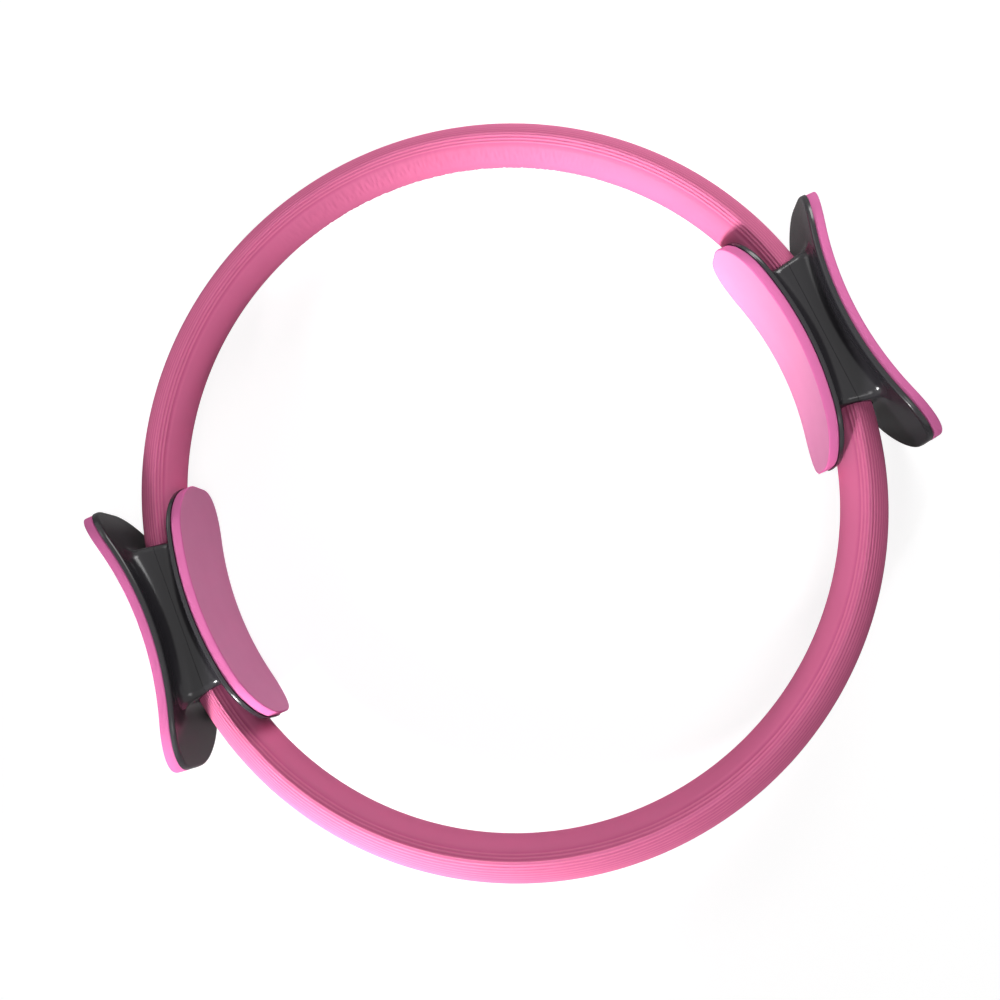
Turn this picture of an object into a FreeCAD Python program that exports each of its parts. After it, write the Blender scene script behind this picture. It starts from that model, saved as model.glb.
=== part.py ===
import FreeCAD, Part
import math
import os
import Sketcher

# Pilates ring: two padded handles joined by two springy foam-covered half hoops.
# Millimetres. The origin is the ring's centre, +Z is the ring's axis and +X points to the right handle.

document = FreeCAD.newDocument("pilates_ring")

# Driving dimensions: name, value and what it measures
DRIVING_DIMENSIONS = [
    ("hoop_radius", "162.2", "each half hoop, from its centre to the foam's crease"),
    ("hoop_offset", "7.2", "each half hoop's centre from the ring's centre"),
    ("foam_outer_depth", "10.6", "foam from its crease to its outermost line"),
    ("foam_inner_depth", "10.2", "foam from its crease to its innermost line"),
    ("foam_height", "29", "foam from crease to crease"),
    ("foam_clearance", "0.4", "gap between the foam and the handle around it"),
    ("strip_width", "15", "glass-fibre strip, along the ring's axis"),
    ("strip_thickness", "2.2", "glass-fibre strip, across the hoop"),
    ("strip_gap", "0.3", "gap between two strips, and around a pack of strips"),
    ("inner_floor", "0.5", "inner flange's pad face, at its middle, past the foam's innermost line"),
    ("outer_floor", "1.6", "outer flange's pad face, at its middle, short of the foam's outermost line"),
    ("handle_width", "56", "flanges, along the ring's axis"),
    ("outer_flange_span", "128.6", "outer flange from tip to tip"),
    ("inner_flange_span", "115.4", "inner flange from tip to tip"),
    ("flange_bend", "160", "radius of a flange's hollow pad face"),
    ("flange_thickness", "2.4", "flange wall"),
    ("flange_corner", "22", "rounding of a flange's corners"),
    ("rim_round", "1.6", "rounding of the flange's rim on its back"),
    ("mouth_wall", "2.1", "spool body over the foam's crease at a mouth"),
    ("flare_round", "6.8", "hollow flare from the body to a flange's back"),
    ("mouth_round", "3", "rounding of the body's ends at the mouths"),
    ("seam_chamfer", "0.1", "broken edge where the two shells meet"),
    ("mouth_angle", "10.3", "end of the mouth, as an angle at the half hoop's centre"),
    ("groove_angle", "22", "foam groove from the foam's end, as an angle at the half hoop's centre"),
    ("socket_depth", "7", "how far the foam goes into the mouth"),
    ("pad_thickness", "4.7", "EVA pad"),
    ("pad_inset", "0.5", "pad outline inside the flange outline"),
    ("bond_gap", "0.1", "glue line under a pad"),
    ("screw_diameter", "3.5", "shell screw, shank"),
    ("screw_head_diameter", "6.5", "shell screw, head"),
    ("screw_head_height", "2.4", "shell screw, head"),
    ("screw_length", "13", "shell screw, under its head"),
    ("screw_spread_along", "36", "shell screws, centre to centre along the handle"),
    ("screw_spread_across", "24", "shell screws, centre to centre along the ring's axis"),
    ("bolt_diameter", "4", "strip bolt, shank"),
    ("bolt_head_diameter", "7.5", "strip bolt, head"),
    ("bolt_head_height", "2.4", "strip bolt, head"),
    ("bolt_length", "13.6", "strip bolt, under its head"),
    ("bolt_setback", "12", "strip bolt from the end of its strips"),
    ("hole_clearance", "0.2", "gap round a shank or a head, and past its end"),
    ("overrun", "3", "how far a cut or a blank runs past what it shapes"),
]


class Size:
    """A length or angle that keeps its number together with the expression that drives it."""

    def __init__(self, value, text):
        self.value = value
        self.text = text

    def joined(self, sign, other, value):
        other_text = other.text if isinstance(other, Size) else str(other)
        return Size(value, "(" + self.text + " " + sign + " " + other_text + ")")

    def __add__(self, other):
        return self.joined("+", other, self.value + number(other))

    def __sub__(self, other):
        return self.joined("-", other, self.value - number(other))

    def __mul__(self, other):
        return self.joined("*", other, self.value * number(other))

    def __truediv__(self, other):
        return self.joined("/", other, self.value / number(other))

    def __neg__(self):
        return self * -1


def number(size):
    return size.value if isinstance(size, Size) else size


def square_root(size):
    return Size(math.sqrt(size.value), "sqrt(" + size.text + ")")


def smaller(one, other):
    return Size(min(one.value, other.value), "min(" + one.text + "; " + other.text + ")")


def tangent(angle):
    return Size(math.tan(math.radians(angle.value)), "tan(" + angle.text + ")")


def angle_of(length, radius):
    """The angle, in degrees, that a length takes up along a circle."""
    return length / radius * math.degrees(1)


def make_sheet():
    """Writes the driving dimensions to a spreadsheet and returns them by name."""
    sheet = document.addObject("Spreadsheet::Sheet", "dims")
    for row, (name, text, note) in enumerate(DRIVING_DIMENSIONS, start=1):
        sheet.set("A" + str(row), name)
        sheet.set("B" + str(row), text)
        sheet.set("C" + str(row), note)
        sheet.setAlias("B" + str(row), name)
    document.recompute()
    return {name: Size(float(text), "dims." + name) for name, text, note in DRIVING_DIMENSIONS}


dims = make_sheet()
ZERO = Size(0, "0")
HALF_TURN = Size(180, "180")
UP = FreeCAD.Vector(0, 0, 1)

# The strips of one half hoop, from the ring's centre outwards
STRIP_LAYERS = {"inner": -1, "middle": 0, "outer": 1}
# The two ends of a handle's body, where the front and the rear half hoop go in
MOUTHS = {"front": 1, "rear": -1}
# How much of the room that a flare has may be taken up by its rounding
FLARE_ROOM_SHARE = 0.95
# How far two places or radii that count as one may differ
MATCH_SHARE = 1e-6

# Sizes that follow from the driving dimensions
hoop_radius = dims["hoop_radius"]
strip_pitch = dims["strip_thickness"] + dims["strip_gap"]
pack_thickness = strip_pitch * (len(STRIP_LAYERS) - 1) + dims["strip_thickness"]
foam_end_angle = dims["mouth_angle"] - angle_of(dims["socket_depth"], hoop_radius)
half_width = dims["handle_width"] / 2
half_body = dims["foam_height"] / 2 + dims["foam_clearance"] + dims["mouth_wall"]
outer_face = hoop_radius + dims["foam_outer_depth"] - dims["outer_floor"]
inner_face = hoop_radius - dims["foam_inner_depth"] - dims["inner_floor"]
waist_depth = outer_face - inner_face
seam_place = inner_face + waist_depth / 2
back_radius = dims["flange_bend"] + dims["flange_thickness"]
waist_room = waist_depth / 2 - dims["flange_thickness"]
rim_room = half_width - dims["rim_round"] - half_body
flare_round = smaller(dims["flare_round"], smaller(waist_room, rim_room) * FLARE_ROOM_SHARE)


# Sketches
def origin_plane(body, role):
    return [feature for feature in body.Origin.OriginFeatures if feature.Role == role][0]


def new_body(label):
    body = document.addObject("PartDesign::Body", label)
    body.Label = label
    return body


def new_sketch(body, name, role, offset=None):
    """A sketch on one of the body's origin planes, moved along the plane's normal by offset."""
    sketch = body.newObject("Sketcher::SketchObject", body.Name + "_" + name)
    sketch.AttachmentSupport = [(origin_plane(body, role), "")]
    sketch.MapMode = "FlatFace"
    if offset:
        sketch.setExpression("AttachmentOffset.Base.z", offset.text)
    return sketch


def point(size_x, size_y):
    return FreeCAD.Vector(size_x.value, size_y.value, 0)


def bind(sketch, constraint, size):
    index = sketch.addConstraint(constraint)
    sketch.setExpression("Constraints[%d]" % index, size.text)


def bind_point(sketch, edge, end, size_x, size_y):
    """Ties an edge's end, or a circle's centre, to the sketch's origin."""
    for kind, axis, size in (("DistanceX", -2, size_x), ("DistanceY", -1, size_y)):
        if size.value == 0:
            sketch.addConstraint(Sketcher.Constraint("PointOnObject", edge, end, axis))
        elif size.value > 0:
            bind(sketch, Sketcher.Constraint(kind, -1, 1, edge, end, size.value), size)
        else:
            bind(sketch, Sketcher.Constraint(kind, edge, end, -1, 1, -size.value), -size)


def arc_between(start, finish, radius, turn):
    """An arc of under a half circle; turn is 1 for anticlockwise and -1 for clockwise."""
    chord = finish - start
    rise = math.sqrt(radius ** 2 - (chord.Length / 2) ** 2)
    left = FreeCAD.Vector(-chord.y, chord.x, 0).normalize()
    centre = (start + finish) / 2 + left * (rise * turn)
    ends = (start, finish) if turn > 0 else (finish, start)
    angles = [math.atan2(end.y - centre.y, end.x - centre.x) for end in ends]
    return Part.ArcOfCircle(Part.Circle(centre, UP, radius), *angles)


def outline(sketch, corners):
    """Draws a closed outline. A corner is (x, y), or (x, y, radius, turn) where an arc leads on from it."""
    points = [point(corner[0], corner[1]) for corner in corners]
    edges = []
    for corner, start, finish in zip(corners, points, points[1:] + points[:1]):
        if len(corner) == 2:
            edge = sketch.addGeometry(Part.LineSegment(start, finish))
            edges.append((edge, 1, 2))
        else:
            size_x, size_y, radius, turn = corner
            edge = sketch.addGeometry(arc_between(start, finish, radius.value, turn))
            edges.append((edge, 1, 2) if turn > 0 else (edge, 2, 1))
            bind(sketch, Sketcher.Constraint("Radius", edge, radius.value), radius)
    for (edge, first, last), (next_edge, next_first, next_last) in zip(edges, edges[1:] + edges[:1]):
        sketch.addConstraint(Sketcher.Constraint("Coincident", edge, last, next_edge, next_first))
    for (edge, first, last), corner in zip(edges, corners):
        bind_point(sketch, edge, first, corner[0], corner[1])
    document.recompute()


def circles(sketch, centres, radius):
    for size_x, size_y in centres:
        edge = sketch.addGeometry(Part.Circle(point(size_x, size_y), UP, radius.value))
        bind(sketch, Sketcher.Constraint("Radius", edge, radius.value), radius)
        bind_point(sketch, edge, 3, size_x, size_y)
    document.recompute()


def rectangle(low_x, low_y, high_x, high_y):
    return [(low_x, low_y), (high_x, low_y), (high_x, high_y), (low_x, high_y)]


def rounded_rectangle(half_x, half_y, radius):
    flat_x, flat_y = half_x - radius, half_y - radius
    return [
        (-flat_x, -half_y), (flat_x, -half_y, radius, 1),
        (half_x, -flat_y), (half_x, flat_y, radius, 1),
        (flat_x, half_y), (-flat_x, half_y, radius, 1),
        (-half_x, flat_y), (-half_x, -flat_y, radius, 1),
    ]


# Features
def pad_both_ways(body, sketch, length):
    feature = body.newObject("PartDesign::Pad", sketch.Name + "_pad")
    feature.Profile = sketch
    feature.SideType = "Symmetric"
    feature.setExpression("Length", length.text)
    document.recompute()


def pad_forward(body, sketch, length):
    feature = body.newObject("PartDesign::Pad", sketch.Name + "_pad")
    feature.Profile = sketch
    feature.setExpression("Length", length.text)
    document.recompute()


def revolve(body, sketch, angle):
    """Turns a section about the sketch's upright axis, anticlockwise as seen from +Z."""
    feature = body.newObject("PartDesign::Revolution", sketch.Name + "_revolution")
    feature.Profile = sketch
    feature.ReferenceAxis = (sketch, ["V_Axis"])
    feature.setExpression("Angle", angle.text)
    document.recompute()
    return feature


def recompute_cut(body, feature, volume_before):
    """Stops the build where a cut has taken nothing away."""
    document.recompute()
    if body.Shape.Volume >= volume_before:
        raise RuntimeError(feature.Name + " cuts nothing")


def pocket_through(body, sketch, side_type="Symmetric"):
    volume = body.Shape.Volume
    feature = body.newObject("PartDesign::Pocket", sketch.Name + "_pocket")
    feature.Profile = sketch
    feature.Type = "ThroughAll"
    feature.SideType = side_type
    recompute_cut(body, feature, volume)


def pocket_forward(body, sketch, depth):
    """A blind cut to the plus side of the sketch's plane."""
    volume = body.Shape.Volume
    feature = body.newObject("PartDesign::Pocket", sketch.Name + "_pocket")
    feature.Profile = sketch
    feature.Reversed = True
    feature.setExpression("Length", depth.text)
    recompute_cut(body, feature, volume)


def groove_along_hoop(body, name, section, start_angle, sweep, end):
    """Cuts a section's path along a half hoop; end is 1 for the front mouth and -1 for the rear one."""
    volume = body.Shape.Volume
    sketch = new_sketch(body, name, "XZ_Plane", dims["hoop_offset"] * -end)
    turn_axis = FreeCAD.Vector(0, 1, 0)
    sketch.AttachmentOffset = FreeCAD.Placement(FreeCAD.Vector(), FreeCAD.Rotation(turn_axis, 1))
    sketch.setExpression("AttachmentOffset.Rotation.Angle", (start_angle * end).text)
    outline(sketch, section)
    feature = body.newObject("PartDesign::Groove", sketch.Name + "_groove")
    feature.Profile = sketch
    feature.ReferenceAxis = (sketch, ["V_Axis"])
    feature.Reversed = end < 0
    feature.setExpression("Angle", sweep.text)
    recompute_cut(body, feature, volume)


def edge_names(body, wanted):
    """Names of the body's edges that are among the wanted ones."""
    return ["Edge%d" % index for index, edge in enumerate(body.Shape.Edges, start=1)
            if any(edge.isSame(other) for other in wanted)]


def dress(body, kind, name, size, edges):
    """Rounds or breaks edges of the body's newest shape; kind is Fillet or Chamfer."""
    base, names = body.Tip, edge_names(body, edges)
    feature = body.newObject("PartDesign::" + kind, body.Name + "_" + name)
    feature.Base = (base, names)
    feature.setExpression("Radius" if kind == "Fillet" else "Size", size.text)
    document.recompute()


# Half hoops
def set_hoop(body, start_angle, turned):
    """Sets a half hoop, built from +X about its own centre, in the front or the rear half of the ring."""
    body.Placement = FreeCAD.Placement(FreeCAD.Vector(), FreeCAD.Rotation(UP, 1))
    offset = dims["hoop_offset"] * (-1 if turned else 1)
    body.setExpression("Placement.Base.y", offset.text)
    body.setExpression("Placement.Rotation.Angle", (start_angle + HALF_TURN if turned else start_angle).text)
    document.recompute()


def lens_section(margin):
    """The foam's section: an outer and an inner arc that meet in the front and rear creases."""
    half_height = dims["foam_height"] / 2 + margin
    outer_depth, inner_depth = dims["foam_outer_depth"] + margin, dims["foam_inner_depth"] + margin
    outer_radius = (half_height * half_height + outer_depth * outer_depth) / (outer_depth * 2)
    inner_radius = (half_height * half_height + inner_depth * inner_depth) / (inner_depth * 2)
    return [(hoop_radius, -half_height, outer_radius, 1), (hoop_radius, half_height, inner_radius, 1)]


def pack_section(margin):
    """The space of a pack of strips, with a margin round it."""
    half_pack, half_strip = pack_thickness / 2 + margin, dims["strip_width"] / 2 + margin
    return rectangle(hoop_radius - half_pack, -half_strip, hoop_radius + half_pack, half_strip)


def make_foam_sleeve(label, turned):
    body = new_body(label)
    section = new_sketch(body, "section", "XZ_Plane")
    outline(section, lens_section(ZERO))
    outline(section, pack_section(dims["strip_gap"]))
    revolve(body, section, HALF_TURN - foam_end_angle * 2)
    set_hoop(body, foam_end_angle, turned)
    return body


def make_strip(label, layer, turned):
    body = new_body(label)
    middle = hoop_radius + strip_pitch * layer
    half_thickness, half_strip = dims["strip_thickness"] / 2, dims["strip_width"] / 2
    section = new_sketch(body, "section", "XZ_Plane")
    outline(section, rectangle(middle - half_thickness, -half_strip, middle + half_thickness, half_strip))
    revolve(body, section, HALF_TURN)
    bolt_hole = new_sketch(body, "bolt_hole", "YZ_Plane")
    circles(bolt_hole, [(dims["bolt_setback"], ZERO)], dims["bolt_diameter"] / 2 + dims["hole_clearance"])
    pocket_through(body, bolt_hole)
    set_hoop(body, ZERO, turned)
    return body


# Handles: every piece is built for the right handle, and the left handle's is turned half round
class Flange:
    """The curved plate under a pad; side is 1 for the outer flange and -1 for the inner one."""

    def __init__(self, side):
        self.side = side
        self.face = outer_face if side > 0 else inner_face
        self.half_span = (dims["outer_flange_span"] if side > 0 else dims["inner_flange_span"]) / 2
        self.centre = self.face + dims["flange_bend"] * side

    def curve_place(self, radius, size_y):
        """X of the point at size_y on an arc about the flange's bend centre."""
        return self.centre - square_root(radius * radius - size_y * size_y) * self.side

    def band(self, radius_a, radius_b):
        """A band between two arcs about the bend centre, a little longer than the flange."""
        half_span = self.half_span + dims["overrun"]
        corners = []
        for radius, turn in ((radius_a, self.side), (radius_b, -self.side)):
            edge_x, start_y = self.curve_place(radius, half_span), half_span * (turn * self.side)
            corners += [(edge_x, start_y, radius, turn), (edge_x, -start_y)]
        return corners

    def mouth_corner(self, radius):
        """X where the line of the front mouth meets an arc about the bend centre."""
        slope, offset = tangent(dims["mouth_angle"]), dims["hoop_offset"]
        along = self.centre - slope * offset
        steep = slope * slope + 1
        beyond = self.centre * self.centre + offset * offset - radius * radius
        return (along - square_root(along * along - steep * beyond) * self.side) / steep


def set_handle_piece(body, turned):
    turn = HALF_TURN.value if turned else 0
    body.Placement = FreeCAD.Placement(FreeCAD.Vector(), FreeCAD.Rotation(UP, turn))
    document.recompute()
    return body


def trim_outline(body, half_span, half_height, corner):
    """Cuts a curved plate to a rounded rectangle, as seen along X."""
    sketch = new_sketch(body, "outline", "YZ_Plane")
    outline(sketch, rounded_rectangle(half_span, half_height, corner))
    past_y, past_z = half_span + dims["overrun"] * 2, half_height + dims["overrun"]
    outline(sketch, rectangle(-past_y, -past_z, past_y, past_z))
    pocket_through(body, sketch)


def make_pad(label, side, turned):
    flange = Flange(side)
    body = new_body(label)
    back = dims["flange_bend"] - dims["bond_gap"]
    half_height = half_width - dims["pad_inset"]
    plan = new_sketch(body, "plan", "XY_Plane")
    outline(plan, flange.band(back - dims["pad_thickness"], back))
    pad_both_ways(body, plan, half_height * 2)
    corner = dims["flange_corner"] - dims["pad_inset"]
    trim_outline(body, flange.half_span - dims["pad_inset"], half_height, corner)
    return set_handle_piece(body, turned)


def mouth_place(size_x, angle):
    """Y of the point at size_x on a line from the front half hoop's centre."""
    return dims["hoop_offset"] + size_x * tangent(angle)


def stem_section(flange):
    """Section of the spool body on its flange, about the bend centre."""
    root = (dims["flange_bend"] + dims["flange_thickness"] / 2) * -flange.side
    far = (dims["flange_bend"] + waist_depth) * -flange.side
    return rectangle(root, -half_body, far, half_body)


def past_seam_plan(flange):
    """What the other shell fills: everything beyond the seam."""
    past_x, past_y = seam_place - waist_depth * flange.side, flange.half_span
    return rectangle(past_x, -past_y, seam_place, past_y)


def past_mouth_plan(flange, end):
    """The space behind a wing, between the flange's back and the line of a mouth."""
    past_x = seam_place - dims["overrun"] * flange.side
    past_y = flange.half_span + dims["overrun"]
    back_x = flange.mouth_corner(back_radius)
    return [
        (past_x, mouth_place(past_x, dims["mouth_angle"]) * end),
        (back_x, mouth_place(back_x, dims["mouth_angle"]) * end, back_radius, -flange.side * end),
        (flange.curve_place(back_radius, past_y), past_y * end),
        (past_x, past_y * end),
    ]


def fastener_places(half_along, half_across):
    return [(half_along * along, half_across * across) for along in (1, -1) for across in (1, -1)]


screw_places = fastener_places(dims["screw_spread_along"] / 2, dims["screw_spread_across"] / 2)
bolt_places = [((dims["hoop_offset"] + dims["bolt_setback"]) * end, ZERO) for end in (1, -1)]
FASTENERS = {"screw": screw_places, "bolt": bolt_places}


def make_fasteners(label, kind, turned):
    """The screws or bolts of one handle. Their heads lie under the inner pad and they point away from it."""
    body = new_body(label)
    head = new_sketch(body, "head", "YZ_Plane", inner_face)
    circles(head, FASTENERS[kind], dims[kind + "_head_diameter"] / 2)
    pad_forward(body, head, dims[kind + "_head_height"])
    shank = new_sketch(body, "shank", "YZ_Plane", inner_face)
    circles(shank, FASTENERS[kind], dims[kind + "_diameter"] / 2)
    pad_forward(body, shank, dims[kind + "_head_height"] + dims[kind + "_length"])
    return set_handle_piece(body, turned)


def cut_fastener_holes(body, kind, side):
    """Clear holes with seats for the heads in the inner shell, and blind holes in the outer shell."""
    clearance, seat = dims["hole_clearance"], inner_face + dims[kind + "_head_height"]
    hole = new_sketch(body, kind + "_hole", "YZ_Plane", seam_place)
    circles(hole, FASTENERS[kind], dims[kind + "_diameter"] / 2 + clearance)
    if side > 0:
        pocket_forward(body, hole, seat + dims[kind + "_length"] + clearance - seam_place)
        return
    pocket_through(body, hole)
    head_seat = new_sketch(body, kind + "_seat", "YZ_Plane", seat)
    circles(head_seat, FASTENERS[kind], dims[kind + "_head_diameter"] / 2 + clearance)
    pocket_through(body, head_seat, "One side")


def match(one, size):
    return math.isclose(one, size.value, rel_tol=MATCH_SHARE)


def flange_back(body):
    """The face of the flange that the spool body stands on."""
    faces = [face for face in body.Shape.Faces if isinstance(face.Surface, Part.Cylinder)]
    backs = [face for face in faces if match(face.Surface.Radius, back_radius)]
    return max(backs, key=lambda face: face.Area)


def side_edges(body, ends_at_seam):
    """Edges of the spool body's flat sides that have this many of their ends at the seam."""
    level = [edge for edge in body.Shape.Edges
             if all(match(abs(vertex.Point.z), half_body) for vertex in edge.Vertexes)]
    return [edge for edge in level
            if sum(match(vertex.Point.x, seam_place) for vertex in edge.Vertexes) == ends_at_seam]


def add_stem(body, flange):
    """Adds half of the spool body to a flange, with rounded ends and a hollow flare round its foot."""
    section = new_sketch(body, "stem", "XZ_Plane")
    section.setExpression("AttachmentOffset.Base.x", flange.centre.text)
    outline(section, stem_section(flange))
    half_length = mouth_place(flange.face, dims["mouth_angle"]) + dims["overrun"] * 2
    stem = revolve(body, section, angle_of(half_length, dims["flange_bend"]) * 2)
    stem.Midplane = True
    seam_cut = new_sketch(body, "past_seam", "XY_Plane")
    outline(seam_cut, past_seam_plan(flange))
    pocket_through(body, seam_cut)
    for name, end in MOUTHS.items():
        mouth_cut = new_sketch(body, name + "_past_mouth", "XY_Plane")
        outline(mouth_cut, past_mouth_plan(flange, end))
        pocket_through(body, mouth_cut)
    dress(body, "Fillet", "ends", dims["mouth_round"], side_edges(body, 1))
    back = flange_back(body)
    foot = [edge for wire in back.Wires if not wire.isSame(back.OuterWire) for edge in wire.Edges]
    dress(body, "Fillet", "flare", flare_round, foot)
    dress(body, "Chamfer", "seam", dims["seam_chamfer"], side_edges(body, 2))


def add_mouth(body, name, end):
    """Cuts a foam socket and a strip channel into one end of the spool body."""
    foam_start = foam_end_angle - angle_of(dims["foam_clearance"], hoop_radius)
    socket = lens_section(dims["foam_clearance"])
    groove_along_hoop(body, name + "_socket", socket, foam_start, dims["groove_angle"], end)
    strip_start = -angle_of(dims["strip_gap"], hoop_radius)
    channel = pack_section(dims["strip_gap"])
    groove_along_hoop(body, name + "_channel", channel, strip_start, dims["mouth_angle"], end)


def make_shell(label, side, turned):
    """One half of a handle's moulded spool: a flared flange and the half of the body that it carries."""
    flange = Flange(side)
    body = new_body(label)
    plate = new_sketch(body, "plate", "XY_Plane")
    outline(plate, flange.band(dims["flange_bend"], back_radius))
    pad_both_ways(body, plate, dims["handle_width"])
    trim_outline(body, flange.half_span, half_width, dims["flange_corner"])
    dress(body, "Fillet", "rim", dims["rim_round"], flange_back(body).Edges)
    add_stem(body, flange)
    for name, end in MOUTHS.items():
        add_mouth(body, name, end)
    for kind in FASTENERS:
        cut_fastener_holes(body, kind, side)
    return set_handle_piece(body, turned)


# Building and export
PIECES = []
for hoop_name, hoop_turned in (("front", False), ("rear", True)):
    PIECES.append(make_foam_sleeve(hoop_name + "_foam_sleeve", hoop_turned))
    for layer_name, layer_place in STRIP_LAYERS.items():
        PIECES.append(make_strip(hoop_name + "_" + layer_name + "_strip", layer_place, hoop_turned))
for handle_name, handle_turned in (("right", False), ("left", True)):
    for side_name, side_sign in (("inner", -1), ("outer", 1)):
        PIECES.append(make_shell(handle_name + "_" + side_name + "_shell", side_sign, handle_turned))
        PIECES.append(make_pad(handle_name + "_" + side_name + "_pad", side_sign, handle_turned))
    PIECES.append(make_fasteners(handle_name + "_shell_screws", "screw", handle_turned))
    PIECES.append(make_fasteners(handle_name + "_strip_bolts", "bolt", handle_turned))

document.recompute()
for item in document.Objects:
    if "Invalid" in item.State or "Error" in item.State:
        raise RuntimeError(item.Label + " did not build")
os.makedirs("parts", exist_ok=True)
for piece in PIECES:
    if piece.Shape.isNull() or not piece.Shape.isValid():
        raise RuntimeError(piece.Label + " has no sound shape")
    piece.Shape.exportStep("parts/" + piece.Label + ".step")
    box = piece.Shape.optimalBoundingBox()
    print(piece.Label, len(piece.Shape.Solids), "solids", round(piece.Shape.Volume), "mm3",
          [round(value, 1) for value in (box.XMin, box.XMax, box.YMin, box.YMax, box.ZMin, box.ZMax)])
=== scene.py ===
import math

import bmesh
import bpy
from mathutils import Euler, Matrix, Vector


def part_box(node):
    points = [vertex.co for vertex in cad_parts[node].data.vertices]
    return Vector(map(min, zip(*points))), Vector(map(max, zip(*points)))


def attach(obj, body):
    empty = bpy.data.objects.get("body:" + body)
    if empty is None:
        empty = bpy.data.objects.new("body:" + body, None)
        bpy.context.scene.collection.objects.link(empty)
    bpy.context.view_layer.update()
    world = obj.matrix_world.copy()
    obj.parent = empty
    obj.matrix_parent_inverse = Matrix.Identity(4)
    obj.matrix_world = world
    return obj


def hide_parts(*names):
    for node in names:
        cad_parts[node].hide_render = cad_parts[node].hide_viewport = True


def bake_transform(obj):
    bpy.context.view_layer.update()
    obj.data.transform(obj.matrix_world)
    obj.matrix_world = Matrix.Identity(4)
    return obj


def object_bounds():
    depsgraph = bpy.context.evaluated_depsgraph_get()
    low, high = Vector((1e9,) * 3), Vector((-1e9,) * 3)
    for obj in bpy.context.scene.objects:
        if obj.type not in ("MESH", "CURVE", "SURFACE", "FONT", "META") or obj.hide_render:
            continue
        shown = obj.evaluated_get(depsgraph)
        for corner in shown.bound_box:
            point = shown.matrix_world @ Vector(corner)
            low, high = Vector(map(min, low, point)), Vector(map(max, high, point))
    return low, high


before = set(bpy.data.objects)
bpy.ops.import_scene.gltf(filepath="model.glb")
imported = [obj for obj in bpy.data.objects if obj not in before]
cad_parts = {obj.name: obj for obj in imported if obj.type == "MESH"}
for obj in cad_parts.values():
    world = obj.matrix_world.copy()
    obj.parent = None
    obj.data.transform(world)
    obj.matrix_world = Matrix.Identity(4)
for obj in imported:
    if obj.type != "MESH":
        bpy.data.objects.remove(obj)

cad_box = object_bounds()

MM = 0.001

# Sizes of the hoops, in metres. What the frame can tell is read from its boxes, further down.
STRIP_THICKNESS = 2.2 * MM
CHANNEL_HALF_DEPTH = 3.9 * MM
CHANNEL_HALF_HEIGHT = 7.8 * MM
FOAM_INNER_DEPTH = 10.2 * MM
SWEEP_STEPS = 640
SHARP_EDGE = math.radians(80)
SEW_DISTANCE = 0.002 * MM
JOIN_DISTANCE = 0.001 * MM

# The foam's ribs: all over its outer side, and INNER_RIBS at each edge of its inner side.
RIB_PITCH = 1.6 * MM
RIB_DEPTH = 0.44 * MM
RIB_ROUNDNESS = 1.6                   # more makes the crests narrower
RIB_STEP_SHARES = (0, 0.2, 0.5, 0.8)  # the section's points across a rib
INNER_RIBS = 3
INNER_STEP = 1.2 * MM                 # between points where the inner side is smooth
# The ribs' crests get a painted highlight, a paler pink; the smooth part of the inner side gets
# this fixed share of it.
SMOOTH_HIGHLIGHT_SHARE = 0.5              # the tint there, from groove (0) to crest (1)

# The foam's cross wrinkles: on the inner side of the front sleeve, in a patch along the hoop.
WRINKLE_LENGTH = 2.4 * MM
WRINKLE_DEPTHS = {"front": 0.34 * MM, "rear": 0.0}
WRINKLED_FROM, WRINKLED_TO = math.radians(35), math.radians(118)
WRINKLED_CORE_SHARE = 0.4             # of the patch, where they have their full depth
WRINKLE_TURN_SHARE = 0.3              # less makes them run straighter across the tube
CREASE_WIDTH_SHARE = 0.14             # of the noise's height, on either side of a crease
WRINKLED_EDGE_SHARES = (0.15, 0.85)   # of the tube's half height, where they begin and end
WRINKLED_EDGE_RISES = (4, 4.5)        # how fast they deepen from there

# The pads: sheets bent to the flanges, a hair clear of them, with rounded corners and edges.
FLANGE_BEND = 160 * MM
PAD_GAP = 0.1 * MM
PAD_THICKNESS = 4.7 * MM
PAD_CORNER = 21.5 * MM
PAD_EDGE_ROUND = 0.6 * MM
PAD_EDGE_STEPS = 4
PAD_COLUMNS = 24
PAD_CORNER_STEPS = 12
PAD_STRAIGHT_STEPS = 36

# Where the half hoops lie and how big their foam is, from the frame.
strip_low, strip_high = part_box("front_middle_strip")
foam_low, foam_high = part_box("front_foam_sleeve")
HOOP_OFFSET = strip_low[1]
HOOP_RADIUS = strip_high[0] - STRIP_THICKNESS / 2
FOAM_HALF_HEIGHT = foam_high[2]
FOAM_OUTER_DEPTH = foam_high[1] - HOOP_OFFSET - HOOP_RADIUS
FOAM_END_ANGLE = math.asin((foam_low[1] - HOOP_OFFSET) / (HOOP_RADIUS - FOAM_INNER_DEPTH))

# The camera, matched to the photograph: place in metres, turn in degrees, lens in millimetres.
CAMERA_PLACE = Vector((0.016376, -0.092401, 0.520497))
CAMERA_TURN = Euler([math.radians(a) for a in (11.0668, 6.0365, -23.4095)])
CAMERA_LENS = 40.33
CAMERA_SENSOR = 36
CAMERA_SHIFT = (0.0047, -0.0699)
CAMERA_NEAREST = 0.01

# The studio: half the floor's width in metres, its glow to the eye, and the world's strength as
# light and in reflections. To the eye the world's strength is 1, which is white.
FLOOR_HALF = 3
FLOOR_GLOW = 0.82
WORLD_LIGHT = 0.05
REFLECTED_SHARE = 0.75

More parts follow.
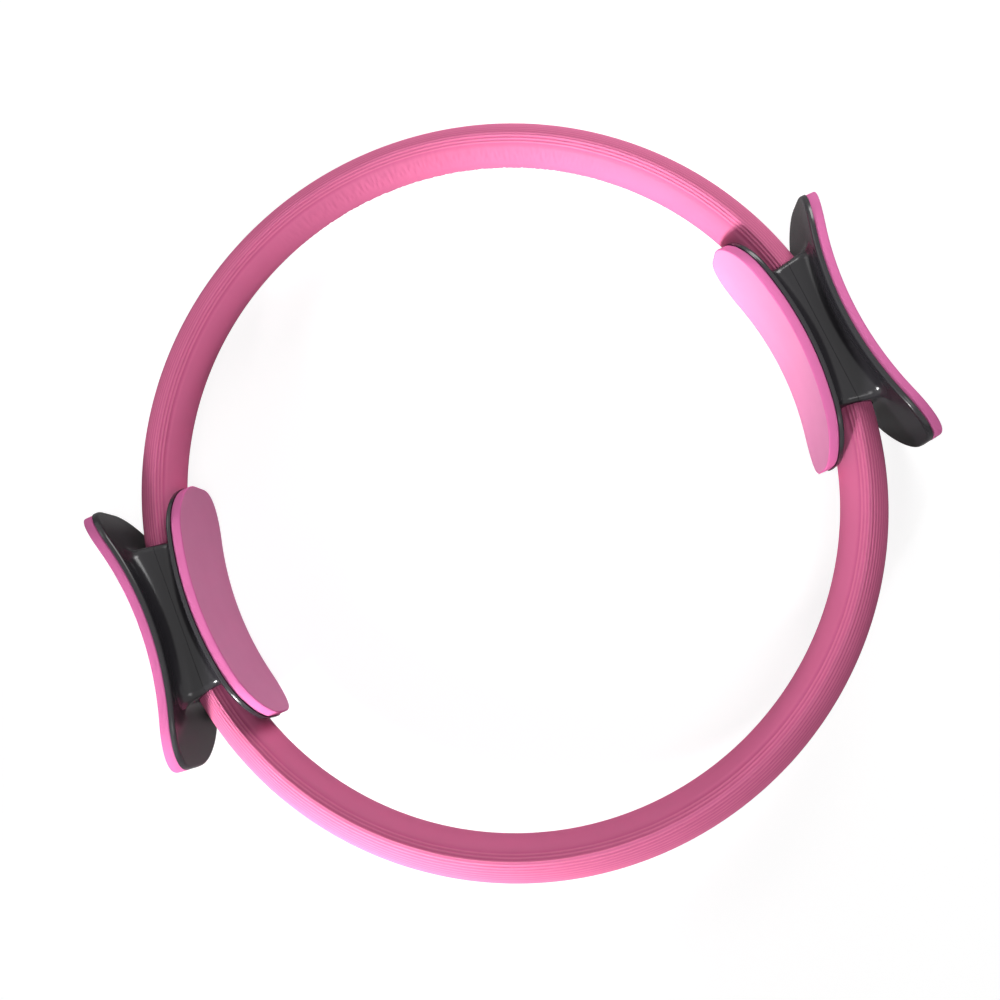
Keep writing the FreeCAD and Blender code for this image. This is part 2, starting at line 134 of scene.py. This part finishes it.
# The lights: kind, direction from the ring's middle, distance and size in metres, power in watts.
STUDIO_LIGHTS = {
    "key_light": ("SPOT", (-0.7, -0.62, 0.36), 0.9, 0.12, 99),
    "left_fill": ("AREA", (-0.84, -0.46, 0.3), 1.4, 0.5, 2.5),
    "rim_light": ("AREA", (0.56, 0.68, 0.48), 0.9, 0.45, 4.4),
    "top_light": ("AREA", (-0.6, 0.6, 0.5), 1.4, 0.6, 1.6),
    "front_fill": ("AREA", (0.1, -0.4, 0.9), 1.4, 0.6, 3.5),
}
SPOT_CONE = math.radians(20.4)


def linear_colour(code):
    """The linear colour of an sRGB hex code."""
    channels = [int(code[i:i + 2], 16) / 255 for i in (1, 3, 5)]
    linear = [c / 12.92 if c <= 0.04045 else ((c + 0.055) / 1.055) ** 2.4 for c in channels]
    return (*linear, 1.0)


def add_node(tree, kind, settings=None, links=None):
    """Adds a node: small-letter keys are properties, the others its sockets' names or numbers."""
    node = tree.nodes.new(kind)
    for key, value in (settings or {}).items():
        if isinstance(key, str) and key[0].islower():
            setattr(node, key, value)
        else:
            node.inputs[key].default_value = value
    for key, source in (links or {}).items():
        tree.links.new(source, node.inputs[key])
    return node


def new_material(name):
    """An empty material with its main shader."""
    material = bpy.data.materials.new(name)
    material.use_nodes = True
    tree = material.node_tree
    tree.nodes.clear()
    shader = add_node(tree, "ShaderNodeBsdfPrincipled")
    add_node(tree, "ShaderNodeOutputMaterial", links={"Surface": shader.outputs["BSDF"]})
    return material, tree, shader


def hoop_foam_material():
    """Closed-cell rubber foam with an extruded skin: matt, with faint clouds in its pink and a
    painted highlight that makes the rib crests paler. Its pores are drawn coarser than they are, so
    that they show."""
    material, tree, shader = new_material("Closed-cell rubber foam, extruded")
    place = add_node(tree, "ShaderNodeTexCoord").outputs["Object"]
    clouds = add_node(tree, "ShaderNodeTexNoise", {"Scale": 1 / (14 * MM), "Detail": 2.0}, {
        "Vector": place})
    pores = add_node(tree, "ShaderNodeTexNoise", {"Scale": 1 / (0.6 * MM), "Detail": 2.0}, {
        "Vector": place})
    groove = add_node(tree, "ShaderNodeMix", {
        "data_type": "RGBA", 6: linear_colour("#d85e90"), 7: linear_colour("#de6698")}, {
        0: clouds.outputs["Fac"]})
    # Painted highlight: a paler pink on the rib crests, where light catches them.
    painted_highlight = add_node(tree, "ShaderNodeAttribute", {"attribute_name": "rib_crest"})
    pink = add_node(tree, "ShaderNodeMix", {"data_type": "RGBA", 7: linear_colour("#ee7faa")}, {
        0: painted_highlight.outputs["Fac"], 6: groove.outputs[2]})
    bump = add_node(tree, "ShaderNodeBump", {"Strength": 0.5, "Distance": 0.05 * MM}, {
        "Height": pores.outputs["Fac"]})
    tree.links.new(pink.outputs[2], shader.inputs["Base Color"])
    tree.links.new(bump.outputs["Normal"], shader.inputs["Normal"])
    shader.inputs["Roughness"].default_value = 0.75
    shader.inputs["IOR"].default_value = 1.5
    return material


def grip_pad_material():
    """Die-cut EVA foam sheet: matt, with a pale skin and a deeper pink on the cut edge. Its closed
    cells are drawn coarser than they are, so that they show."""
    material, tree, shader = new_material("EVA foam sheet, die cut")
    place = add_node(tree, "ShaderNodeTexCoord").outputs["Object"]
    clouds = add_node(tree, "ShaderNodeTexNoise", {"Scale": 1 / (18 * MM), "Detail": 2.0}, {
        "Vector": place})
    cells = add_node(tree, "ShaderNodeTexNoise", {"Scale": 1 / (0.5 * MM), "Detail": 3.0}, {
        "Vector": place})
    skin = add_node(tree, "ShaderNodeMix", {
        "data_type": "RGBA", 6: linear_colour("#ea90bd"), 7: linear_colour("#ee97c3")}, {
        0: clouds.outputs["Fac"]})
    cut = add_node(tree, "ShaderNodeAttribute", {"attribute_name": "cut_edge"})
    pink = add_node(tree, "ShaderNodeMix", {"data_type": "RGBA", 7: linear_colour("#ea75b4")}, {
        0: cut.outputs["Fac"], 6: skin.outputs[2]})
    bump = add_node(tree, "ShaderNodeBump", {"Strength": 0.5, "Distance": 0.05 * MM}, {
        "Height": cells.outputs["Fac"]})
    tree.links.new(pink.outputs[2], shader.inputs["Base Color"])
    tree.links.new(bump.outputs["Normal"], shader.inputs["Normal"])
    shader.inputs["Roughness"].default_value = 0.8
    shader.inputs["IOR"].default_value = 1.5
    return material


def handle_plastic_material():
    """Black ABS from a polished mould: glossy, with faint waves in what it mirrors."""
    material, tree, shader = new_material("ABS plastic, injection moulded, glossy black")
    place = add_node(tree, "ShaderNodeTexCoord").outputs["Object"]
    wear = add_node(tree, "ShaderNodeTexNoise", {"Scale": 1 / (9 * MM), "Detail": 4.0}, {
        "Vector": place})
    gloss = add_node(tree, "ShaderNodeMapRange", {"To Min": 0.18, "To Max": 0.25}, {
        "Value": wear.outputs["Fac"]})
    waves = add_node(tree, "ShaderNodeTexNoise", {"Scale": 1 / (2.5 * MM), "Detail": 1.0}, {
        "Vector": place})
    bump = add_node(tree, "ShaderNodeBump", {"Strength": 0.15, "Distance": 0.01 * MM}, {
        "Height": waves.outputs["Fac"]})
    shader.inputs["Base Color"].default_value = linear_colour("#302e32")
    tree.links.new(gloss.outputs["Result"], shader.inputs["Roughness"])
    tree.links.new(bump.outputs["Normal"], shader.inputs["Normal"])
    shader.inputs["IOR"].default_value = 1.53
    return material


def glass_fibre_material():
    """Pultruded glass fibre: a satin straw colour with a fine mottle."""
    material, tree, shader = new_material("Glass fibre, pultruded")
    place = add_node(tree, "ShaderNodeTexCoord").outputs["Object"]
    mottle = add_node(tree, "ShaderNodeTexNoise", {"Scale": 1 / (0.8 * MM), "Detail": 3.0}, {
        "Vector": place})
    straw = add_node(tree, "ShaderNodeMix", {
        "data_type": "RGBA", 6: linear_colour("#cfcaa4"), 7: linear_colour("#e3dfc2")}, {
        0: mottle.outputs["Fac"]})
    tree.links.new(straw.outputs[2], shader.inputs["Base Color"])
    shader.inputs["Roughness"].default_value = 0.45
    shader.inputs["IOR"].default_value = 1.55
    return material


def plated_steel_material():
    """Zinc-plated steel: bright metal with a patchy gloss."""
    material, tree, shader = new_material("Steel, zinc plated")
    place = add_node(tree, "ShaderNodeTexCoord").outputs["Object"]
    patches = add_node(tree, "ShaderNodeTexNoise", {"Scale": 1 / (1.5 * MM), "Detail": 2.0}, {
        "Vector": place})
    gloss = add_node(tree, "ShaderNodeMapRange", {"To Min": 0.28, "To Max": 0.42}, {
        "Value": patches.outputs["Fac"]})
    shader.inputs["Base Color"].default_value = linear_colour("#c6c7ca")
    shader.inputs["Metallic"].default_value = 1.0
    tree.links.new(gloss.outputs["Result"], shader.inputs["Roughness"])
    return material


def floor_material():
    """Matt studio paper, lit through, so that it looks white and keeps the ring's soft shadow."""
    material, tree, shader = new_material("Studio paper, matt white")
    seen = add_node(tree, "ShaderNodeLightPath").outputs["Is Camera Ray"]
    glow = add_node(tree, "ShaderNodeMath", {"operation": "MULTIPLY", 1: FLOOR_GLOW}, {0: seen})
    shader.inputs["Base Color"].default_value = linear_colour("#a4a4a4")
    shader.inputs["Roughness"].default_value = 0.9
    shader.inputs["Emission Color"].default_value = (1.0, 1.0, 1.0, 1.0)
    tree.links.new(glow.outputs["Value"], shader.inputs["Emission Strength"])
    return material


def new_piece(name, points, faces):
    """A mesh object in the scene from its points and faces."""
    mesh = bpy.data.meshes.new(name)
    mesh.from_pydata(points, [], faces)
    piece = bpy.data.objects.new(name, mesh)
    bpy.context.scene.collection.objects.link(piece)
    return piece


def copy_of_node(node, name):
    """A CAD piece's mesh in a new object, with the points that its faces share joined again."""
    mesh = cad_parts[node].data.copy()
    mesh.name = name
    if "custom_normal" in mesh.attributes:
        mesh.attributes.remove(mesh.attributes["custom_normal"])
    shape = bmesh.new()
    shape.from_mesh(mesh)
    bmesh.ops.remove_doubles(shape, verts=shape.verts, dist=JOIN_DISTANCE)
    shape.to_mesh(mesh)
    shape.free()
    mesh.materials.clear()
    piece = bpy.data.objects.new(name, mesh)
    bpy.context.scene.collection.objects.link(piece)
    return piece


def dress_node(node, material):
    """Gives a CAD piece that shows as it is its material."""
    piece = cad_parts[node]
    piece.data.materials.clear()
    piece.data.materials.append(material)


def bake(piece):
    """Turns what the piece's modifiers make into its own mesh."""
    graph = bpy.context.evaluated_depsgraph_get()
    mesh = bpy.data.meshes.new_from_object(
        piece.evaluated_get(graph), preserve_all_data_layers=True, depsgraph=graph)
    piece.modifiers.clear()
    piece.data = mesh
    mesh.name = piece.name


def finish_piece(piece, material, slot, *nodes):
    """Gives a finished piece its material and hides the CAD pieces it stands for. The slot is not
    used.
    """
    piece.data.materials.clear()
    piece.data.materials.append(material)
    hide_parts(*nodes)


def hoop_sweep_tree():
    """Sweeps a section along a half hoop, closes both ends and presses wrinkles into the inside."""
    tree = bpy.data.node_groups.new("hoop_sweep", "GeometryNodeTree")
    for name, kind in (
        ("Section", "NodeSocketObject"),
        ("Hoop radius", "NodeSocketFloat"),
        ("Hoop offset", "NodeSocketFloat"),
        ("Start angle", "NodeSocketFloat"),
        ("Sweep angle", "NodeSocketFloat"),
        ("Steps", "NodeSocketInt"),
        ("Wrinkle length", "NodeSocketFloat"),
        ("Wrinkle depth", "NodeSocketFloat"),
        ("Wrinkled middle", "NodeSocketFloat"),
        ("Wrinkled reach", "NodeSocketFloat"),
        ("Material", "NodeSocketMaterial"),
    ):
        tree.interface.new_socket(name, in_out="INPUT", socket_type=kind)
    tree.interface.new_socket("Geometry", in_out="OUTPUT", socket_type="NodeSocketGeometry")
    given = add_node(tree, "NodeGroupInput").outputs

    # The tube, which keeps the length along the hoop for its wrinkles.
    section = add_node(tree, "GeometryNodeObjectInfo", links={"Object": given["Section"]})
    outline = add_node(tree, "GeometryNodeMeshToCurve", links={"Mesh": section.outputs["Geometry"]})
    path = add_node(tree, "GeometryNodeCurveArc", {"mode": "RADIUS"}, {
        "Resolution": given["Steps"], "Radius": given["Hoop radius"],
        "Start Angle": given["Start angle"], "Sweep Angle": given["Sweep angle"]})
    upright = add_node(tree, "GeometryNodeSetCurveNormal", {"mode": "Z_UP"}, {
        "Curve": path.outputs["Curve"]})
    length = add_node(tree, "GeometryNodeSplineParameter")
    marked = add_node(tree, "GeometryNodeStoreNamedAttribute", {"Name": "along"}, {
        "Geometry": upright.outputs["Curve"], "Value": length.outputs["Length"]})
    tube = add_node(tree, "GeometryNodeCurveToMesh", links={
        "Curve": marked.outputs["Geometry"], "Profile Curve": outline.outputs["Curve"]})

    # The wrinkles: creases where a noise passes its middle, deepest in the middle of the patch.
    along = add_node(tree, "GeometryNodeInputNamedAttribute", {"Name": "along"})
    around = add_node(tree, "GeometryNodeInputNamedAttribute", {"Name": "around"})
    share = add_node(tree, "GeometryNodeInputNamedAttribute", {"Name": "wrinkle_share"})
    across = add_node(tree, "ShaderNodeMath", {"operation": "MULTIPLY", 1: WRINKLE_TURN_SHARE}, {
        0: around.outputs["Attribute"]})
    place = add_node(tree, "ShaderNodeCombineXYZ", links={
        "X": along.outputs["Attribute"], "Y": across.outputs["Value"], "Z": given["Hoop offset"]})
    scale = add_node(tree, "ShaderNodeMath", {"operation": "DIVIDE", 0: 1.0}, {
        1: given["Wrinkle length"]})
    noise = add_node(tree, "ShaderNodeTexNoise", {"Detail": 1.0}, {
        "Vector": place.outputs["Vector"], "Scale": scale.outputs["Value"]})
    middle = add_node(tree, "ShaderNodeMath", {"operation": "SUBTRACT", 1: 0.5}, {
        0: noise.outputs["Fac"]})
    near = add_node(tree, "ShaderNodeMath", {"operation": "ABSOLUTE"}, {0: middle.outputs["Value"]})
    crease = add_node(tree, "ShaderNodeMapRange", {
        "interpolation_type": "SMOOTHSTEP", "From Min": 0.0, "From Max": CREASE_WIDTH_SHARE,
        "To Min": -1.0, "To Max": 0.0}, {"Value": near.outputs["Value"]})
    beside = add_node(tree, "ShaderNodeMath", {"operation": "SUBTRACT"}, {
        0: along.outputs["Attribute"], 1: given["Wrinkled middle"]})
    away = add_node(tree, "ShaderNodeMath", {"operation": "ABSOLUTE"}, {0: beside.outputs["Value"]})
    far = add_node(tree, "ShaderNodeMath", {"operation": "DIVIDE"}, {
        0: away.outputs["Value"], 1: given["Wrinkled reach"]})
    patch = add_node(tree, "ShaderNodeMapRange", {
        "interpolation_type": "SMOOTHSTEP", "From Min": WRINKLED_CORE_SHARE, "From Max": 1.0,
        "To Min": 1.0, "To Max": 0.0}, {"Value": far.outputs["Value"]})
    shared = add_node(tree, "ShaderNodeMath", {"operation": "MULTIPLY"}, {
        0: crease.outputs["Result"], 1: share.outputs["Attribute"]})
    patched = add_node(tree, "ShaderNodeMath", {"operation": "MULTIPLY"}, {
        0: shared.outputs["Value"], 1: patch.outputs["Result"]})
    depth = add_node(tree, "ShaderNodeMath", {"operation": "MULTIPLY"}, {
        0: patched.outputs["Value"], 1: given["Wrinkle depth"]})
    normal = add_node(tree, "GeometryNodeInputNormal")
    inward = add_node(tree, "ShaderNodeVectorMath", {"operation": "SCALE"}, {
        0: normal.outputs["Normal"], "Scale": depth.outputs["Value"]})
    wrinkled = add_node(tree, "GeometryNodeSetPosition", links={
        "Geometry": tube.outputs["Mesh"], "Offset": inward.outputs["Vector"]})

    # The two ends, with the strips' channel left open.
    filled = add_node(tree, "GeometryNodeFillCurve", links={"Curve": outline.outputs["Curve"]})
    radius = add_node(tree, "ShaderNodeCombineXYZ", links={"X": given["Hoop radius"]})
    stood = add_node(tree, "GeometryNodeTransform", {"Rotation": (-math.pi / 2, 0.0, 0.0)}, {
        "Geometry": filled.outputs["Mesh"], "Translation": radius.outputs["Vector"]})
    start_turn = add_node(tree, "ShaderNodeCombineXYZ", links={"Z": given["Start angle"]})
    start_cap = add_node(tree, "GeometryNodeTransform", links={
        "Geometry": stood.outputs["Geometry"], "Rotation": start_turn.outputs["Vector"]})
    end_angle = add_node(tree, "ShaderNodeMath", {"operation": "ADD"}, {
        0: given["Start angle"], 1: given["Sweep angle"]})
    end_turn = add_node(tree, "ShaderNodeCombineXYZ", links={"Z": end_angle.outputs["Value"]})
    end_cap = add_node(tree, "GeometryNodeTransform", links={
        "Geometry": stood.outputs["Geometry"], "Rotation": end_turn.outputs["Vector"]})
    turned_cap = add_node(tree, "GeometryNodeFlipFaces", links={
        "Mesh": start_cap.outputs["Geometry"]})

    # All of it sewn together, at the hoop's place.
    joined = add_node(tree, "GeometryNodeJoinGeometry", links={
        "Geometry": wrinkled.outputs["Geometry"]})
    tree.links.new(turned_cap.outputs["Mesh"], joined.inputs["Geometry"])
    tree.links.new(end_cap.outputs["Geometry"], joined.inputs["Geometry"])
    offset = add_node(tree, "ShaderNodeCombineXYZ", links={"Y": given["Hoop offset"]})
    moved = add_node(tree, "GeometryNodeTransform", links={
        "Geometry": joined.outputs["Geometry"], "Translation": offset.outputs["Vector"]})
    sewn = add_node(tree, "GeometryNodeMergeByDistance", {"Distance": SEW_DISTANCE}, {
        "Geometry": moved.outputs["Geometry"]})
    smooth = add_node(tree, "GeometryNodeSetShadeSmooth", links={
        "Geometry": sewn.outputs["Geometry"]})
    real = add_node(tree, "GeometryNodeRealizeInstances", links={
        "Geometry": smooth.outputs["Geometry"]})
    painted = add_node(tree, "GeometryNodeSetMaterial", links={
        "Geometry": real.outputs["Geometry"], "Material": given["Material"]})
    add_node(tree, "NodeGroupOutput", links={"Geometry": painted.outputs["Geometry"]})
    return tree


def lens_side(depth, ribs_at_end=None):
    """One arc of the foam's lens section, from one crease to the other. Each point has its distance
    out, its height, its arc length from the middle and its share of painted highlight: how far up a
    rib it is, or a fixed share where the arc is smooth. Ribs cover the whole arc, or so many of
    them each end of it."""
    radius = (FOAM_HALF_HEIGHT ** 2 + depth ** 2) / (2 * depth)
    half_angle = math.asin(FOAM_HALF_HEIGHT / radius)
    ribs = round(2 * radius * half_angle / RIB_PITCH)
    ribbed = ribs / 2 if ribs_at_end is None else ribs_at_end
    steps = [rib + part for rib in range(ribs) for part in RIB_STEP_SHARES]
    steps = [step for step in steps if step <= ribbed or step >= ribs - ribbed]
    smooth_count = round((ribs - 2 * ribbed) * RIB_PITCH / INNER_STEP)
    steps += [ribbed + (ribs - 2 * ribbed) * k / smooth_count for k in range(1, smooth_count)]
    points = []
    for step in sorted(steps):
        angle = half_angle * (2 * step / ribs - 1)
        on_rib = step <= ribbed or step >= ribs - ribbed
        crown = abs(math.sin(math.pi * step)) ** RIB_ROUNDNESS if on_rib else 1.0
        height = radius - RIB_DEPTH * (1 - crown)
        out = height * math.cos(angle) - (radius - depth)
        # The point's share of painted highlight.
        painted_highlight = crown if on_rib else SMOOTH_HIGHLIGHT_SHARE
        points.append((out, height * math.sin(angle), radius * angle, painted_highlight))
    return points


def foam_section():
    """The foam's section as two loops of edges: a ribbed lens and the strips' channel in it."""
    outer = [(out, up, 0.0, 0.0, painted_highlight) for out, up, _, painted_highlight in lens_side(FOAM_OUTER_DEPTH)]
    inner = []
    for out, up, length, painted_highlight in lens_side(FOAM_INNER_DEPTH, INNER_RIBS):
        away = abs(up) / FOAM_HALF_HEIGHT
        share = min(1.0, WRINKLED_EDGE_RISES[0] * (away - WRINKLED_EDGE_SHARES[0]),
                    WRINKLED_EDGE_RISES[1] * (WRINKLED_EDGE_SHARES[1] - away))
        inner.append((-out, -up, length, max(0.0, share), painted_highlight))
    lens = outer + inner
    channel = [(x * CHANNEL_HALF_DEPTH, y * CHANNEL_HALF_HEIGHT, 0.0, 0.0, SMOOTH_HIGHLIGHT_SHARE)
               for x, y in ((-1, -1), (-1, 1), (1, 1), (1, -1))]
    points = lens + channel
    edges = [(i, (i + 1) % len(lens)) for i in range(len(lens))]
    edges += [(len(lens) + i, len(lens) + (i + 1) % len(channel)) for i in range(len(channel))]
    mesh = bpy.data.meshes.new("foam_section")
    mesh.from_pydata([(p[0], p[1], 0.0) for p in points], edges, [])
    # Each point's share of painted highlight goes along to the foam's material.
    for number, name in ((2, "around"), (3, "wrinkle_share"), (4, "rib_crest")):
        layer = mesh.attributes.new(name, "FLOAT", "POINT")
        layer.data.foreach_set("value", [p[number] for p in points])
    section = bpy.data.objects.new("foam_section", mesh)
    bpy.context.scene.collection.objects.link(section)
    return section


def foam_sleeve(half, side, tree, section, material):
    """One half hoop's ribbed foam sleeve; side is 1 for the front and -1 for the rear."""
    sleeve = new_piece(half + "_foam", [], [])
    sweep = sleeve.modifiers.new("sweep", "NODES")
    sweep.node_group = tree
    start = FOAM_END_ANGLE if side > 0 else math.pi + FOAM_END_ANGLE
    wrinkled_middle = (WRINKLED_FROM + WRINKLED_TO) / 2 - FOAM_END_ANGLE
    values = {
        "Section": section,
        "Hoop radius": HOOP_RADIUS,
        "Hoop offset": side * HOOP_OFFSET,
        "Start angle": start,
        "Sweep angle": math.pi - 2 * FOAM_END_ANGLE,
        "Steps": SWEEP_STEPS,
        "Wrinkle length": WRINKLE_LENGTH,
        "Wrinkle depth": WRINKLE_DEPTHS[half],
        "Wrinkled middle": HOOP_RADIUS * wrinkled_middle,
        "Wrinkled reach": HOOP_RADIUS * (WRINKLED_TO - WRINKLED_FROM) / 2,
        "Material": material,
    }
    for item in tree.interface.items_tree:
        if item.in_out == "INPUT":
            sweep[item.identifier] = values[item.name]
    bake(sleeve)
    sleeve.data.set_sharp_from_angle(angle=SHARP_EDGE)
    finish_piece(sleeve, material, "hoop_foam", half + "_foam_sleeve")
    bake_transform(sleeve)


def rounded_rows(half_span, half_height, corner):
    """Rows across a rounded rectangle: the place of each along it and its half width there."""
    rows = []
    for step in range(PAD_CORNER_STEPS + 1):
        angle = math.pi / 2 * step / PAD_CORNER_STEPS
        rows.append((-half_span + corner * (1 - math.cos(angle)),
                     half_height - corner * (1 - math.sin(angle))))
    straight = half_span - corner
    for step in range(1, PAD_STRAIGHT_STEPS):
        rows.append((straight * (2 * step / PAD_STRAIGHT_STEPS - 1), half_height))
    rows += [(-y, z) for y, z in reversed(rows[:PAD_CORNER_STEPS + 1])]
    return rows


def pad(name, node, facing, body, material):
    """A sheet pad bent to its flange; facing is the way along X that its free face looks."""
    low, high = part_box(node)
    glued = FLANGE_BEND - PAD_GAP
    centre = low[0] + glued if facing > 0 else high[0] - glued
    half_span, half_height = high[1], high[2]
    turn = [math.pi / 2 * k / PAD_EDGE_STEPS for k in range(PAD_EDGE_STEPS + 1)]
    levels = [(PAD_EDGE_ROUND * (1 - math.sin(a)), PAD_EDGE_ROUND * (1 - math.cos(a)))
              for a in turn]
    levels += [(inset, PAD_THICKNESS - height) for inset, height in reversed(levels)]
    # Level by level through the sheet: a full face at the first and last, and a rim at each.
    points, faces, rims = [], [], []
    for number, (inset, height) in enumerate(levels):
        rows = rounded_rows(half_span - inset, half_height - inset, PAD_CORNER - inset)
        radius = glued - height
        grid = {}
        for i, (y, half) in enumerate(rows):
            for j in range(PAD_COLUMNS + 1):
                on_rim = i in (0, len(rows) - 1) or j in (0, PAD_COLUMNS)
                if on_rim or number in (0, len(levels) - 1):
                    grid[i, j] = len(points)
                    x = centre - facing * math.sqrt(radius ** 2 - y ** 2)
                    points.append((x, y, half * (2 * j / PAD_COLUMNS - 1)))
        last = len(rows) - 1
        rim = [grid[0, j] for j in range(PAD_COLUMNS)]
        rim += [grid[i, PAD_COLUMNS] for i in range(last)]
        rim += [grid[last, j] for j in range(PAD_COLUMNS, 0, -1)]
        rim += [grid[i, 0] for i in range(last, 0, -1)]
        rims.append(rim)
        if number in (0, len(levels) - 1):
            for i in range(last):
                for j in range(PAD_COLUMNS):
                    faces.append((grid[i, j], grid[i + 1, j], grid[i + 1, j + 1], grid[i, j + 1]))
    # The cut edge, from rim to rim.
    flat_faces = len(faces)
    for lower, upper in zip(rims, rims[1:]):
        for k in range(len(lower)):
            after = (k + 1) % len(lower)
            faces.append((lower[k], lower[after], upper[after], upper[k]))
    piece = new_piece(name, points, faces)
    shape = bmesh.new()
    shape.from_mesh(piece.data)
    bmesh.ops.recalc_face_normals(shape, faces=shape.faces)
    shape.to_mesh(piece.data)
    shape.free()
    piece.data.shade_smooth()
    cut = piece.data.attributes.new("cut_edge", "FLOAT", "FACE")
    for number in range(flat_faces, len(faces)):
        cut.data[number].value = 1.0
    finish_piece(piece, material, "grip_pad", node)
    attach(piece, body)


def strip(name, node, material):
    """A glass-fibre strip, which curves between the handles."""
    piece = copy_of_node(node, name)
    finish_piece(piece, material, "glass_fibre", node)
    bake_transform(piece)


def studio_light(name, kind, direction, distance, size, power):
    """A studio light that looks at the ring's middle: a narrow spot or a soft square."""
    lamp = bpy.data.lights.new(name, kind)
    lamp.energy = power
    if kind == "SPOT":
        lamp.shadow_soft_size = size
        lamp.spot_size = SPOT_CONE
        lamp.spot_blend = 1.0
    else:
        lamp.size = size
    light = bpy.data.objects.new(name, lamp)
    bpy.context.scene.collection.objects.link(light)
    light.location = Vector(direction).normalized() * distance
    light.rotation_euler = Vector(direction).to_track_quat("Z", "Y").to_euler()


foam = hoop_foam_material()
eva = grip_pad_material()
plastic = handle_plastic_material()
glass_fibre = glass_fibre_material()
steel = plated_steel_material()

sweep_tree = hoop_sweep_tree()
section = foam_section()
foam_sleeve("front", 1, sweep_tree, section, foam)
foam_sleeve("rear", -1, sweep_tree, section, foam)
bpy.data.objects.remove(section)

for half in ("front", "rear"):
    for layer in ("inner", "middle", "outer"):
        strip(f"{half}_{layer}_spring", f"{half}_{layer}_strip", glass_fibre)

for side, sign in (("right", 1), ("left", -1)):
    body = f"{side}_handle"
    pad(f"{side}_outer_grip", f"{side}_outer_pad", sign, body, eva)
    pad(f"{side}_inner_grip", f"{side}_inner_pad", -sign, body, eva)
    for face in ("inner", "outer"):
        dress_node(f"{side}_{face}_shell", plastic)
    for fasteners in ("shell_screws", "strip_bolts"):
        dress_node(f"{side}_{fasteners}", steel)

# A sheet of white paper under the ring, a narrow light from the picture's lower left and softer
# ones around.
floor_level = cad_box[0][2]
floor = new_piece("floor", [(x * FLOOR_HALF, y * FLOOR_HALF, floor_level)
                            for x, y in ((-1, -1), (1, -1), (1, 1), (-1, 1))], [(0, 1, 2, 3)])
floor.data.materials.append(floor_material())

for name, values in STUDIO_LIGHTS.items():
    studio_light(name, *values)

world = bpy.data.worlds.new("studio")
bpy.context.scene.world = world
world.use_nodes = True
sky_tree = world.node_tree
sky_tree.nodes.clear()
ray = add_node(sky_tree, "ShaderNodeLightPath").outputs
mirrored = add_node(sky_tree, "ShaderNodeMath", {"operation": "MULTIPLY", 1: REFLECTED_SHARE}, {
    0: ray["Is Glossy Ray"]})
seen = add_node(sky_tree, "ShaderNodeMath", {"operation": "MAXIMUM"}, {
    0: ray["Is Camera Ray"], 1: mirrored.outputs["Value"]})
strength = add_node(sky_tree, "ShaderNodeMapRange", {"To Min": WORLD_LIGHT, "To Max": 1.0}, {
    "Value": seen.outputs["Value"]})
sky = add_node(sky_tree, "ShaderNodeBackground", {"Color": (1.0, 1.0, 1.0, 1.0)}, {
    "Strength": strength.outputs["Result"]})
add_node(sky_tree, "ShaderNodeOutputWorld", links={"Surface": sky.outputs["Background"]})

camera = bpy.data.objects.new("camera", bpy.data.cameras.new("camera"))
bpy.context.scene.collection.objects.link(camera)
camera.location = CAMERA_PLACE
camera.rotation_euler = CAMERA_TURN
camera.data.sensor_width = CAMERA_SENSOR
camera.data.lens = CAMERA_LENS
camera.data.shift_x, camera.data.shift_y = CAMERA_SHIFT
camera.data.clip_start = CAMERA_NEAREST
bpy.context.scene.camera = camera
bpy.context.scene.view_settings.view_transform = "Standard"
